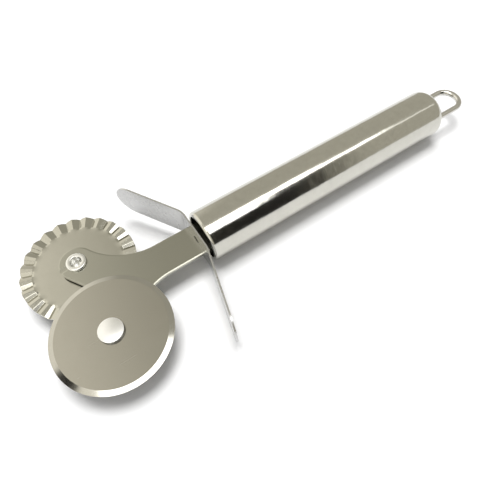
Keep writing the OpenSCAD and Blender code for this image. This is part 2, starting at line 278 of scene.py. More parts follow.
class StageSettings(bpy.types.PropertyGroup):
    """Floor, light and camera."""

    floor_size: bpy.props.FloatProperty(
        name="Floor", description="Side of the floor", subtype="DISTANCE",
        unit="LENGTH", default=6.0)
    lens: bpy.props.FloatProperty(
        name="Lens", description="Focal length of the camera, in millimetres",
        default=30.76)
    radiance: bpy.props.FloatProperty(
        name="Softboxes", description="Brightness of the softboxes' faces, in watts per square "
        "metre and steradian", default=3.6)
    key: bpy.props.FloatProperty(
        name="Key", description="Brightness of the table's key lamp, in the same units",
        default=11.0)
    fill: bpy.props.FloatVectorProperty(
        name="Fill", description="Colour of the plain light that fills the table's shadows",
        subtype="COLOR", size=3, default=(0.27, 0.27, 0.27))
    backdrop: bpy.props.FloatVectorProperty(
        name="Backdrop", description="Colour of the plain backdrop beyond the table",
        subtype="COLOR", size=3, default=(0.66, 0.66, 0.66))
    dim_walls: bpy.props.FloatVectorProperty(
        name="Dim walls", description="Colour of the room over the handle",
        subtype="COLOR", size=3, default=(0.40, 0.385, 0.33))
    bright_walls: bpy.props.FloatVectorProperty(
        name="Bright walls", description="Colour of the room beyond the wheels",
        subtype="COLOR", size=3, default=(0.95, 0.915, 0.82))


# ---------------------------------------------------------------- shared steps


def settings_of(name):
    """One group of this add-on's settings."""
    return getattr(bpy.context.scene, name)


def deselect():
    """Nothing stays selected, so that an operator acts on the new piece alone."""
    if bpy.context.object and bpy.context.object.mode != "OBJECT":
        bpy.ops.object.mode_set(mode="OBJECT")
    bpy.ops.object.select_all(action="DESELECT")


def arc(centre, radius, start, end, steps):
    """Points of a circular arc as (radius, height), angles in degrees from the radius axis."""
    angles = [math.radians(start + (end - start) * i / steps) for i in range(steps + 1)]
    return [(centre[0] + radius * math.cos(a), centre[1] + radius * math.sin(a)) for a in angles]


def select_vertices(piece, wanted):
    """Selects the vertices that wanted accepts, in edit mode."""
    mesh = bmesh.from_edit_mesh(piece.data)
    for vertex in mesh.verts:
        vertex.select = wanted(vertex.co)
    mesh.select_flush_mode()
    bmesh.update_edit_mesh(piece.data)


def lathe(name, outline, axis, steps, closed=False):
    """Draws an outline of (radius, height) points and spins it round axis, "X" or "Z"."""
    along = Vector((1, 0, 0)) if axis == "X" else Vector((0, 0, 1))
    across = Vector((0, 0, 1)) if axis == "X" else Vector((1, 0, 0))
    points = [across * radius + along * height for radius, height in outline]
    deselect()
    bpy.ops.mesh.primitive_plane_add(size=MM)
    piece = bpy.context.object
    piece.name = name
    bpy.ops.object.mode_set(mode="EDIT")
    bpy.ops.mesh.select_mode(type="VERT")
    bpy.ops.mesh.merge(type="CENTER")
    bpy.ops.transform.translate(value=points[0])
    last = points[0]
    for point in points[1:] + points[:1] * closed:
        bpy.ops.mesh.extrude_vertices_move(TRANSFORM_OT_translate={"value": point - last})
        last = point
    bpy.ops.mesh.select_all(action="SELECT")
    bpy.ops.mesh.remove_doubles(threshold=SMALLEST)
    bpy.ops.mesh.spin(steps=steps, angle=math.tau, center=(0, 0, 0), axis=along)
    bpy.ops.mesh.select_all(action="SELECT")
    bpy.ops.mesh.remove_doubles(threshold=SMALLEST * 10)
    bpy.ops.mesh.normals_make_consistent(inside=False)
    bpy.ops.object.mode_set(mode="OBJECT")
    return piece


def round_edges(piece, width, limit, segments=2):
    """A small round on every edge sharper than limit degrees, with the flats kept flat."""
    deselect()
    piece.select_set(True)
    bpy.context.view_layer.objects.active = piece
    bpy.ops.object.shade_smooth_by_angle(angle=math.radians(limit))
    bpy.ops.object.modifier_add(type="BEVEL")
    bevel = piece.modifiers[-1]
    bevel.width = width
    bevel.segments = segments
    bevel.limit_method = "ANGLE"
    bevel.angle_limit = math.radians(limit)
    bevel.harden_normals = True
    bpy.ops.object.modifier_apply(modifier=bevel.name)


def lay(piece, place, flipped=False):
    """Turns a piece from its own axes to the lying tool's, and applies its place to its mesh."""
    deselect()
    piece.select_set(True)
    bpy.context.view_layer.objects.active = piece
    piece.rotation_euler = (ROLL + (math.pi if flipped else 0), 0, 0)
    piece.location = place
    bpy.ops.object.transform_apply(location=True, rotation=True, scale=True)


def place_on(piece, body, node, slot, *materials):
    """Puts the finished piece on its body, in place of its CAD node, with its materials."""
    # Clearing also puts every face on the first material, so only a copied list is cleared
    if piece.data.materials:
        piece.data.materials.clear()
    for material in materials:
        piece.data.materials.append(material)
    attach(piece, body)
    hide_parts(node)


def copy_of(node, name):
    """A copy of a CAD node with its loose triangles joined into whole faces."""
    deselect()
    source = frame["nodes"][node]
    source.select_set(True)
    bpy.context.view_layer.objects.active = source
    bpy.ops.object.duplicate()
    piece = bpy.context.object
    piece.name = name
    for key in list(piece.keys()):
        if key.startswith("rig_"):
            del piece[key]
    piece.parent = None
    if piece.data.has_custom_normals:
        bpy.ops.mesh.customdata_custom_splitnormals_clear()
    bpy.ops.object.mode_set(mode="EDIT")
    bpy.ops.mesh.select_all(action="SELECT")
    bpy.ops.mesh.remove_doubles(threshold=SMALLEST * 10)
    bpy.ops.mesh.dissolve_limited(angle_limit=math.radians(0.5))
    bpy.ops.object.mode_set(mode="OBJECT")
    return piece


# ------------------------------------------------------------------- materials


def new_material(name):
    """A material with an empty node tree."""
    material = bpy.data.materials.new(name)
    material.use_nodes = True
    material.node_tree.nodes.clear()
    return material


def spread_nodes(columns):
    """Lays the nodes out in columns from left to right."""
    for column, nodes in enumerate(columns):
        for row, node in enumerate(nodes):
            node.location = (column * 240 - 1200, 400 - row * 260)


def sheet_steel(name, colour, tint, roughness, grain, turn=0.0):
    """Rolled sheet with cloudy polish and a few hair scratches; turn is the way of its grain."""
    material = new_material(name)
    nodes = material.node_tree.nodes
    links = material.node_tree.links

    grain_frame = nodes.new("NodeFrame")
    grain_frame.label = "Rolling grain"
    cloud_frame = nodes.new("NodeFrame")
    cloud_frame.label = "Cloudy polish"
    scratch_frame = nodes.new("NodeFrame")
    scratch_frame.label = "Hair scratches"

    output = nodes.new("ShaderNodeOutputMaterial")
    output.label = "Sheet steel"
    steel = nodes.new("ShaderNodeBsdfPrincipled")
    steel.label = "Bare steel"
    steel.inputs["Metallic"].default_value = 1.0
    place = nodes.new("ShaderNodeTexCoord")
    place.label = "Place on the piece"

    stretch = nodes.new("ShaderNodeMapping")
    stretch.label = "Stretch the grain along the sheet"
    stretch.inputs["Rotation"].default_value = (0, 0, turn)
    stretch.inputs["Scale"].default_value = (60, 2200, 2200)
    stretch.parent = grain_frame
    streaks = nodes.new("ShaderNodeTexNoise")
    streaks.label = "Grain streaks"
    streaks.inputs["Scale"].default_value = 1.0
    streaks.inputs["Detail"].default_value = 4.0
    streaks.parent = grain_frame

    cloud = nodes.new("ShaderNodeTexNoise")
    cloud.label = "Clouds of polish"
    cloud.inputs["Scale"].default_value = 150.0
    cloud.inputs["Detail"].default_value = 5.0
    cloud.inputs["Roughness"].default_value = 0.7
    cloud.parent = cloud_frame
    shade = nodes.new("ShaderNodeMix")
    shade.label = "Steel between its two shades"
    shade.data_type = "RGBA"
    shade.inputs["A"].default_value = (*colour, 1)
    shade.inputs["B"].default_value = (*tint, 1)
    shade.parent = cloud_frame
    dullness = nodes.new("ShaderNodeMapRange")
    dullness.label = "Polished to dull"
    dullness.inputs["From Min"].default_value = 0.3
    dullness.inputs["From Max"].default_value = 0.7
    dullness.inputs["To Min"].default_value = roughness * 0.9
    dullness.inputs["To Max"].default_value = roughness * 1.12
    dullness.parent = cloud_frame

    scatter = nodes.new("ShaderNodeMapping")
    scatter.label = "Long thin cells"
    scatter.inputs["Rotation"].default_value = (0, 0, turn + 0.35)
    scatter.inputs["Scale"].default_value = (45, 2600, 45)
    scatter.parent = scratch_frame
    hairs = nodes.new("ShaderNodeTexNoise")
    hairs.label = "Hairs"
    hairs.inputs["Scale"].default_value = 1.0
    hairs.inputs["Detail"].default_value = 1.0
    hairs.parent = scratch_frame
    few = nodes.new("ShaderNodeMapRange")
    few.label = "Only the deepest hairs"
    few.inputs["From Min"].default_value = 0.66
    few.inputs["From Max"].default_value = 0.80
    few.inputs["To Max"].default_value = 0.05
    few.parent = scratch_frame
    worn = nodes.new("ShaderNodeMath")
    worn.label = "Polish dulled by the scratches"
    worn.operation = "ADD"
    worn.parent = scratch_frame

    bump = nodes.new("ShaderNodeBump")
    bump.label = "Relief of the grain"
    bump.inputs["Strength"].default_value = grain
    bump.inputs["Distance"].default_value = 0.02 * MM

    links.new(place.outputs["Object"], stretch.inputs["Vector"])
    links.new(stretch.outputs["Vector"], streaks.inputs["Vector"])
    links.new(place.outputs["Object"], cloud.inputs["Vector"])
    links.new(cloud.outputs["Fac"], shade.inputs["Factor"])
    links.new(cloud.outputs["Fac"], dullness.inputs["Value"])
    links.new(place.outputs["Object"], scatter.inputs["Vector"])
    links.new(scatter.outputs["Vector"], hairs.inputs["Vector"])
    links.new(hairs.outputs["Fac"], few.inputs["Value"])
    links.new(dullness.outputs["Result"], worn.inputs[0])
    links.new(few.outputs["Result"], worn.inputs[1])
    links.new(streaks.outputs["Fac"], bump.inputs["Height"])
    links.new(shade.outputs["Result"], steel.inputs["Base Color"])
    links.new(worn.outputs["Value"], steel.inputs["Roughness"])
    links.new(bump.outputs["Normal"], steel.inputs["Normal"])
    links.new(steel.outputs["BSDF"], output.inputs["Surface"])
    spread_nodes(((place,), (stretch, scatter, cloud), (streaks, hairs, dullness),
                  (few, shade), (worn,), (bump,), (steel,), (output,)))
    return material


def turned_steel(name, colour, tint, roughness, grain, centre, turn, pitch, waviness=0.0):
    """Steel worked while it turns: fine lines round the axis at centre, which turn brings to Z."""
    material = new_material(name)
    nodes = material.node_tree.nodes
    links = material.node_tree.links

    line_frame = nodes.new("NodeFrame")
    line_frame.label = "Lines round the axis"
    cloud_frame = nodes.new("NodeFrame")
    cloud_frame.label = "Cloudy polish"
    wave_frame = nodes.new("NodeFrame")
    wave_frame.label = "Slow waves"

    output = nodes.new("ShaderNodeOutputMaterial")
    output.label = "Turned steel"
    steel = nodes.new("ShaderNodeBsdfPrincipled")
    steel.label = "Bare steel"
    steel.inputs["Metallic"].default_value = 1.0
    place = nodes.new("ShaderNodeTexCoord")
    place.label = "Place on the piece"

    centred = nodes.new("ShaderNodeVectorMath")
    centred.label = "Seen from the axis"
    centred.operation = "SUBTRACT"
    centred.inputs[1].default_value = centre
    centred.parent = line_frame
    upright = nodes.new("ShaderNodeMapping")
    upright.label = "Axis brought to Z"
    upright.inputs["Rotation"].default_value = turn
    upright.parent = line_frame
    flat = nodes.new("ShaderNodeVectorMath")
    flat.label = "Across the axis only"
    flat.operation = "MULTIPLY"
    flat.inputs[1].default_value = (1, 1, 0)
    flat.parent = line_frame
    reach = nodes.new("ShaderNodeVectorMath")
    reach.label = "Distance from the axis"
    reach.operation = "LENGTH"
    reach.parent = line_frame
    heading = nodes.new("ShaderNodeVectorMath")
    heading.label = "Direction from the axis"
    heading.operation = "NORMALIZE"
    heading.parent = line_frame
    split = nodes.new("ShaderNodeSeparateXYZ")
    split.label = "Height along the axis"
    split.parent = line_frame
    track = nodes.new("ShaderNodeMath")
    track.label = "Where the tool passed"
    track.operation = "ADD"
    track.parent = line_frame
    fine = nodes.new("ShaderNodeMath")
    fine.label = "Lines to a metre"
    fine.operation = "MULTIPLY"
    fine.inputs[1].default_value = pitch
    fine.parent = line_frame
    lines = nodes.new("ShaderNodeTexNoise")
    lines.label = "Polishing lines"
    lines.noise_dimensions = "4D"
    lines.inputs["Scale"].default_value = 1.6
    lines.inputs["Detail"].default_value = 3.0
    lines.parent = line_frame

    cloud = nodes.new("ShaderNodeTexNoise")
    cloud.label = "Clouds of polish"
    cloud.inputs["Scale"].default_value = 320.0
    cloud.inputs["Detail"].default_value = 6.0
    cloud.inputs["Roughness"].default_value = 0.75
    cloud.parent = cloud_frame
    shade = nodes.new("ShaderNodeMix")
    shade.label = "Steel between its two shades"
    shade.data_type = "RGBA"
    shade.inputs["A"].default_value = (*colour, 1)
    shade.inputs["B"].default_value = (*tint, 1)
    shade.parent = cloud_frame
    dullness = nodes.new("ShaderNodeMapRange")
    dullness.label = "Polished to dull"
    dullness.inputs["From Min"].default_value = 0.3
    dullness.inputs["From Max"].default_value = 0.7
    dullness.inputs["To Min"].default_value = roughness * 0.75
    dullness.inputs["To Max"].default_value = roughness * 1.3
    dullness.parent = cloud_frame

    waves = nodes.new("ShaderNodeTexNoise")
    waves.label = "Slow waves left by drawing"
    waves.inputs["Scale"].default_value = 130.0
    waves.inputs["Detail"].default_value = 2.0
    waves.parent = wave_frame
    wavy = nodes.new("ShaderNodeBump")
    wavy.label = "Relief of the waves"
    wavy.inputs["Strength"].default_value = 1.0
    wavy.inputs["Distance"].default_value = waviness
    wavy.parent = wave_frame
    bump = nodes.new("ShaderNodeBump")
    bump.label = "Relief of the lines"
    bump.inputs["Strength"].default_value = grain
    bump.inputs["Distance"].default_value = 0.02 * MM

    links.new(place.outputs["Object"], waves.inputs["Vector"])
    links.new(waves.outputs["Fac"], wavy.inputs["Height"])
    links.new(wavy.outputs["Normal"], bump.inputs["Normal"])
    links.new(place.outputs["Object"], centred.inputs[0])
    links.new(centred.outputs["Vector"], upright.inputs["Vector"])
    links.new(upright.outputs["Vector"], flat.inputs[0])
    links.new(flat.outputs["Vector"], reach.inputs[0])
    links.new(flat.outputs["Vector"], heading.inputs[0])
    links.new(upright.outputs["Vector"], split.inputs["Vector"])
    links.new(reach.outputs["Value"], track.inputs[0])
    links.new(split.outputs["Z"], track.inputs[1])
    links.new(track.outputs["Value"], fine.inputs[0])
    links.new(heading.outputs["Vector"], lines.inputs["Vector"])
    links.new(fine.outputs["Value"], lines.inputs["W"])
    links.new(lines.outputs["Fac"], bump.inputs["Height"])
    links.new(place.outputs["Object"], cloud.inputs["Vector"])
    links.new(cloud.outputs["Fac"], shade.inputs["Factor"])
    links.new(cloud.outputs["Fac"], dullness.inputs["Value"])
    links.new(shade.outputs["Result"], steel.inputs["Base Color"])
    links.new(dullness.outputs["Result"], steel.inputs["Roughness"])
    links.new(bump.outputs["Normal"], steel.inputs["Normal"])
    links.new(steel.outputs["BSDF"], output.inputs["Surface"])
    spread_nodes(((place,), (centred, cloud), (upright,), (flat, split),
                  (reach, heading), (track, shade, waves), (fine, dullness),
                  (lines, wavy), (bump,), (steel,), (output,)))
    return material


def moulded_plastic(name, colour, roughness):
    """Matt moulded plastic with a fine pebbled skin."""
    material = new_material(name)
    nodes = material.node_tree.nodes
    links = material.node_tree.links
    skin_frame = nodes.new("NodeFrame")
    skin_frame.label = "Moulded skin"
    output = nodes.new("ShaderNodeOutputMaterial")
    output.label = "Plastic"
    plastic = nodes.new("ShaderNodeBsdfPrincipled")
    plastic.label = "Matt plastic"
    plastic.inputs["Base Color"].default_value = (*colour, 1)
    place = nodes.new("ShaderNodeTexCoord")
    place.label = "Place on the piece"
    pebbles = nodes.new("ShaderNodeTexNoise")
    pebbles.label = "Pebbles"
    pebbles.inputs["Scale"].default_value = 1800.0
    pebbles.inputs["Detail"].default_value = 2.0
    pebbles.parent = skin_frame
    dullness = nodes.new("ShaderNodeMapRange")
    dullness.label = "Uneven dullness"
    dullness.inputs["To Min"].default_value = roughness * 0.8
    dullness.inputs["To Max"].default_value = roughness * 1.2
    dullness.parent = skin_frame
    bump = nodes.new("ShaderNodeBump")
    bump.label = "Relief of the skin"
    bump.inputs["Strength"].default_value = 0.4
    bump.inputs["Distance"].default_value = 0.05 * MM
    bump.parent = skin_frame
    links.new(place.outputs["Object"], pebbles.inputs["Vector"])
    links.new(pebbles.outputs["Fac"], dullness.inputs["Value"])
    links.new(pebbles.outputs["Fac"], bump.inputs["Height"])
    links.new(dullness.outputs["Result"], plastic.inputs["Roughness"])
    links.new(bump.outputs["Normal"], plastic.inputs["Normal"])
    links.new(plastic.outputs["BSDF"], output.inputs["Surface"])
    spread_nodes(((place,), (pebbles,), (dullness, bump), (plastic,), (output,)))
    return material


def table_paper(name):
    """Matt white paper under the tool."""
    material = new_material(name)
    nodes = material.node_tree.nodes
    links = material.node_tree.links
    output = nodes.new("ShaderNodeOutputMaterial")
    output.label = "Table"
    paper = nodes.new("ShaderNodeBsdfPrincipled")
    paper.label = "Matt white"
    paper.inputs["Base Color"].default_value = (0.95, 0.95, 0.95, 1)
    paper.inputs["Roughness"].default_value = 0.8
    paper.inputs["Specular IOR Level"].default_value = 0.2
    links.new(paper.outputs["BSDF"], output.inputs["Surface"])
    spread_nodes(((paper,), (output,)))
    return material


# ---------------------------------------------------------------------- pieces


class PASTRY_OT_handle(bpy.types.Operator):
    """Spins the hollow handle: domed end, straight tube and turned-in lip"""

    bl_idname = "pastry.handle"
    bl_label = "Handle"

    def execute(self, context):
        size = settings_of("cutter_handle")
        length = HANDLE_HIGH.x - HANDLE_LOW.x
        steps = 160
        outer = self.dome(size.radius, size.shoulder, size.crown, length)
        inner = self.dome(size.radius - size.wall, size.shoulder - size.wall,
                          size.crown - size.wall, length - size.wall)
        lip = (size.radius - size.lip, -size.lip)
        outline = outer
        outline += arc(lip, size.lip, 0, 90, 8)
        outline += arc((lip[0], -size.wall / 2), size.wall / 2, 90, 270, 8)[1:-1]
        outline += arc(lip, size.lip - size.wall, 90, 0, 4)
        outline += inner[::-1]
        piece = lathe("drawn_handle", outline, "X", steps)
        deselect()
        piece.select_set(True)
        bpy.ops.object.shade_smooth_by_angle(angle=math.radians(40))
        lay(piece, MOUTH)
        colours = settings_of("cutter_finish")
        steel = turned_steel("handle steel", colours.handle, colours.handle_clouds,
                             roughness=0.14, grain=0.5, centre=MOUTH, turn=HANDLE_TURN,
                             pitch=1500, waviness=0.09 * MM)
        place_on(piece, "root", "handle_tube", "handle_steel", steel)
        return {"FINISHED"}

    def dome(self, radius, shoulder, crown, length):
        """Outline from the middle of the domed end to the straight side: crown, then shoulder."""
        crown_middle = crown - length
        across = radius - shoulder
        back = math.sqrt((crown - shoulder) ** 2 - across ** 2)
        meet = math.degrees(math.atan2(-back, across))
        crown_arc = arc((0, crown_middle), crown, -90, meet, 16)
        shoulder_arc = arc((across, crown_middle - back), shoulder, meet, 0, 16)
        return crown_arc + shoulder_arc[1:]


class PASTRY_OT_loop(bpy.types.Operator):
    """Bends the hanging loop from round wire"""

    bl_idname = "pastry.loop"
    bl_label = "Hanging loop"

    def execute(self, context):
        size = settings_of("cutter_handle")
        low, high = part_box("hanging_loop")
        bend_x = low.x + size.loop + size.wire - MOUTH.x
        leg = high.x - MOUTH.x - bend_x
        deselect()
        bpy.ops.mesh.primitive_circle_add(
            vertices=32, radius=size.wire, fill_type="NGON",
            location=(bend_x + leg - size.upset, size.loop, 0), rotation=(0, math.pi / 2, 0))
        piece = bpy.context.object
        piece.name = "bent_loop"
        bpy.ops.object.transform_apply(location=True, rotation=True, scale=True)
        bpy.ops.object.mode_set(mode="EDIT")
        bpy.ops.mesh.select_all(action="SELECT")
        bpy.ops.mesh.extrude_region_move(TRANSFORM_OT_translate={"value": (size.upset - leg, 0, 0)})
        bpy.ops.mesh.spin(steps=48, angle=-math.pi, center=(bend_x, 0, 0), axis=(0, 0, 1))
        bpy.ops.mesh.extrude_region_move(TRANSFORM_OT_translate={"value": (leg - size.upset, 0, 0)})
        bpy.ops.mesh.select_all(action="SELECT")
        bpy.ops.mesh.remove_doubles(threshold=SMALLEST * 10)
        bpy.ops.mesh.normals_make_consistent(inside=False)
        bpy.ops.object.mode_set(mode="OBJECT")
        bpy.ops.object.shade_smooth_by_angle(angle=math.radians(40))
        lay(piece, MOUTH)
        colours = settings_of("cutter_finish")
        wire = sheet_steel("loop wire", colours.wire, colours.wire_clouds, roughness=0.12,
                           grain=0.1)
        place_on(piece, "root", "hanging_loop", "loop_wire", wire)
        return {"FINISHED"}


class PASTRY_OT_plate(bpy.types.Operator):
    """Gives the stamped plate its rolled rim and rounds its edges"""

    bl_idname = "pastry.plate"
    bl_label = "Forked plate"

    def execute(self, context):
        piece = copy_of("fork_plate", "stamped_plate")
        size = settings_of("cutter_sheet")
        self.roll_edge(piece, size.roll_width, size.roll_height)
        round_edges(piece, size.plate_edge, limit=14)
        colours = settings_of("cutter_finish")
        steel = sheet_steel("plate steel", colours.plate, colours.plate_clouds, roughness=0.22,
                            grain=0.07)
        place_on(piece, "root", "fork_plate", "plate_steel", steel)
        return {"FINISHED"}

    def roll_edge(self, piece, width, height):
        """Slopes the rim of the upper face, by lifting the face inside it."""
        deselect()
        piece.select_set(True)
        bpy.context.view_layer.objects.active = piece
        bpy.ops.object.mode_set(mode="EDIT")
        bpy.ops.mesh.select_mode(type="FACE")
        mesh = bmesh.from_edit_mesh(piece.data)
        upper = max((face for face in mesh.faces if face.normal.dot(OUT) > 0.99),
                    key=lambda face: face.calc_area())
        for face in mesh.faces:
            face.select = face is upper
        bmesh.update_edit_mesh(piece.data)
        bpy.ops.mesh.inset(thickness=width, depth=height)
        bpy.ops.object.mode_set(mode="OBJECT")


class PASTRY_OT_guard(bpy.types.Operator):
    """Rounds the edges of the bent finger guard"""

    bl_idname = "pastry.guard"
    bl_label = "Finger guard"

    def execute(self, context):
        piece = copy_of("finger_guard", "bent_guard")
        round_edges(piece, settings_of("cutter_sheet").guard_edge, limit=30)
        colours = settings_of("cutter_finish")
        steel = sheet_steel("guard steel", colours.guard, colours.guard_clouds, roughness=0.27,
                            grain=0.06, turn=math.pi / 2)
        place_on(piece, "root", "finger_guard", "guard_steel", steel)
        return {"FINISHED"}


class PASTRY_OT_plain_wheel(bpy.types.Operator):
    """Spins the plain wheel, with its ground bevel in a finish of its own"""

    bl_idname = "pastry.plain_wheel"
    bl_label = "Plain wheel"

    def execute(self, context):
        size = settings_of("cutter_wheels")
        half = size.plain_thickness / 2
        face = size.plain_radius - size.bevel_width
        outline = [(size.bore, -half), (face, -half), (size.plain_radius, -size.edge / 2),
                   (size.plain_radius, size.edge / 2), (face, half), (size.bore, half)]
        piece = lathe("bevelled_wheel", outline, "Z", 192, closed=True)
        round_edges(piece, size.plain_edge, limit=10)
        # The bevel has the second material
        for polygon in piece.data.polygons:
            beyond = Vector(polygon.center).xy.length - face
            polygon.material_index = 1 if beyond > size.plain_edge * 1.2 else 0
        lay(piece, PLAIN_AXLE)
        colours = settings_of("cutter_finish")
        sheet = sheet_steel("plain wheel steel", colours.plain_wheel, colours.plain_wheel_clouds,
                            roughness=0.22, grain=0.06, turn=0.6)
        ground = turned_steel("ground bevel", colours.bevel, colours.bevel_clouds,
                              roughness=0.13, grain=0.15, centre=PLAIN_AXLE, turn=WHEEL_TURN,
                              pitch=5000)
        place_on(piece, "plain_wheel", "plain_wheel", "wheel_steel", sheet, ground)
        return {"FINISHED"}


class PASTRY_OT_fluted_wheel(bpy.types.Operator):
    """Draws the fluted wheel ring by ring, folds its rim and gives it its thickness"""

    bl_idname = "pastry.fluted_wheel"
    bl_label = "Fluted wheel"

    def execute(self, context):
        size = settings_of("cutter_wheels")
        root = size.fluted_radius - size.flute_length
        flat_ring = root - 1.5 * MM
        # Radius of each ring, and its shares of a ridge's rise and of a furrow's drop
        rings = [(flat_ring, 0, 0), (root, 0, 0), (root + size.flute_end, 0.4, 1),
                 (size.fluted_radius, 1, 1)]
        deselect()
        bpy.ops.mesh.primitive_circle_add(vertices=4 * size.flutes, radius=size.bore,
                                          fill_type="NOTHING")
        piece = bpy.context.object
        piece.name = "fluted_disc"
        bpy.ops.object.mode_set(mode="EDIT")
        bpy.ops.mesh.select_mode(type="VERT")
        bpy.ops.mesh.select_all(action="SELECT")
        reach = size.bore
        for radius, up, down in rings:
            bpy.ops.mesh.extrude_region_move()
            bpy.ops.transform.resize(value=(radius / reach, radius / reach, 1),
                                     center_override=(0, 0, 0))
            reach = radius
            for side, share in ((1, up), (-1, down)):
                if share:
                    self.fold(piece, size, radius, side, share * size.flute_height)
            select_vertices(piece, lambda co: co.xy.length > radius - SMALLEST)
        bpy.ops.object.mode_set(mode="OBJECT")
        bpy.ops.object.modifier_add(type="SOLIDIFY")
        wall = piece.modifiers[-1]
        wall.thickness = size.fluted_thickness
        wall.offset = 0
        bpy.ops.object.modifier_apply(modifier=wall.name)
        bpy.ops.object.mode_set(mode="EDIT")
        bpy.ops.mesh.select_all(action="SELECT")
        bpy.ops.mesh.normals_make_consistent(inside=False)
        bpy.ops.object.mode_set(mode="OBJECT")
        round_edges(piece, size.fluted_edge, limit=12)
        lay(piece, FLUTED_AXLE)
        colours = settings_of("cutter_finish")
        steel = sheet_steel("fluted wheel steel", colours.fluted_wheel,
                            colours.fluted_wheel_clouds, roughness=0.18, grain=0.06, turn=1.1)
        place_on(piece, "fluted_wheel", "fluted_wheel", "wheel_steel", steel)
        return {"FINISHED"}

    def fold(self, piece, size, radius, side, height):
        """Lifts the ring's ridges, or drops its furrows, each two vertices wide."""
        def on_fold(co):
            if co.xy.length < radius - SMALLEST:
                return False
            turn = math.atan2(co.y, co.x) / math.tau * 2 * size.flutes
            near = round(turn)
            return abs(turn - near) < 0.01 and (near % 2 == 0) == (side > 0)
        select_vertices(piece, on_fold)
        bpy.ops.transform.translate(value=(0, 0, side * height))


class PASTRY_OT_rivets(bpy.types.Operator):
    """Spins the two shoulder rivets, one from each side of the plate"""

    bl_idname = "pastry.rivets"
    bl_label = "Rivets"

    def execute(self, context):
        size = settings_of("cutter_wheels")
        colours = settings_of("cutter_finish")
        for name, node, axle, flipped in (
                ("plain_wheel_axle", "plain_wheel_rivet", PLAIN_AXLE, False),
                ("fluted_wheel_axle", "fluted_wheel_rivet", FLUTED_AXLE, True)):
            piece = lathe(name, self.outline(size), "Z", 96)
            deselect()
            piece.select_set(True)
            bpy.ops.object.shade_smooth_by_angle(angle=math.radians(35))
            # Materials: 0 the struck head, 1 the turned sides, near black as painted shade under
            # the head, 2 the rolled end and the bore
            for polygon in piece.data.polygons:
                reach = Vector(polygon.center).xy.length
                if polygon.center.z < 0 or reach < size.bore and polygon.normal.z < 0.5:
                    polygon.material_index = 2
                elif abs(polygon.normal.z) < 0.7:
                    polygon.material_index = 1
            lay(piece, axle + OUT * size.stand_off * (1 if flipped else -1), flipped)
            title = name.replace("_", " ")
            struck = sheet_steel(title + " head", colours.head, colours.head_clouds,
                                 roughness=0.38, grain=0.1)
            # The sides' near-black steel is painted shade for the gap under the head
            side = turned_steel(title + " side", colours.side, colours.side_painted_shade_clouds,
                                roughness=0.15, grain=0.1, centre=axle, turn=WHEEL_TURN,
                                pitch=2500)
            rolled = turned_steel(title + " rolled end", colours.rolled_end,
                                  colours.rolled_end_clouds, roughness=0.24, grain=0.1,
                                  centre=axle, turn=WHEEL_TURN, pitch=2500)
            place_on(piece, "root", node, "rivet_steel", struck, side, rolled)
        return {"FINISHED"}

    def outline(self, size):
        """From the middle of the head, down its outside to the rolled end, and up the bore."""
        top = size.grip + size.head_side + size.head_dome
        crown = (size.head_radius ** 2 + size.head_dome ** 2) / (2 * size.head_dome)
        corner = size.head_corner
        edge = math.degrees(math.asin((size.head_radius - corner) / crown))
        points = arc((0, top - crown), crown, 90, 90 - edge, 12)
        rim = points[-1][1] - corner * math.cos(math.radians(edge))
        points += arc((size.head_radius - corner, rim), corner, 70, 0, 4)
        corner /= 2
        points += arc((size.head_radius - corner, size.grip + corner), corner, 0, -90, 3)
        points += [(size.shoulder, size.grip), (size.shoulder, 0), (size.tenon, 0),
                   (size.tenon, -size.tenon_length)]
        bead = size.roll_height / 2
        points += arc((size.roll_radius - bead, -size.tenon_length - bead), bead, 90, -90, 12)
        # The rolled end flares into the bore
        flare = bead * 0.8
        low = -size.tenon_length - size.roll_height
        points += arc((size.rivet_bore + flare, low + flare), flare, -90, -180, 6)
        # The bore ends in a short cone, half-way up the shoulder
        cone = 0.4 * MM
        points += [(size.rivet_bore, size.grip / 2 - cone), (size.rivet_bore - cone, size.grip / 2),
                   (0, size.grip / 2)]
        return points


class PASTRY_OT_small_parts(bpy.types.Operator):
    """Gives the plug and the washers their finish"""

    bl_idname = "pastry.small_parts"
    bl_label = "Plug and washers"

    def execute(self, context):
        colours = settings_of("cutter_finish")
        finishes = {"tang_plug": moulded_plastic("plug plastic", colours.plug, roughness=0.5)}
        for node, axle in (("plain_wheel_washer", PLAIN_AXLE),
                           ("fluted_wheel_washer", FLUTED_AXLE)):
            finishes[node] = turned_steel(node.replace("_", " "), colours.washer,
                                          colours.washer_clouds, roughness=0.3, grain=0.3,
                                          centre=axle, turn=WHEEL_TURN, pitch=3000)
        for node, finish in finishes.items():
            materials = frame["nodes"][node].data.materials
            materials.clear()
            materials.append(finish)
        return {"FINISHED"}


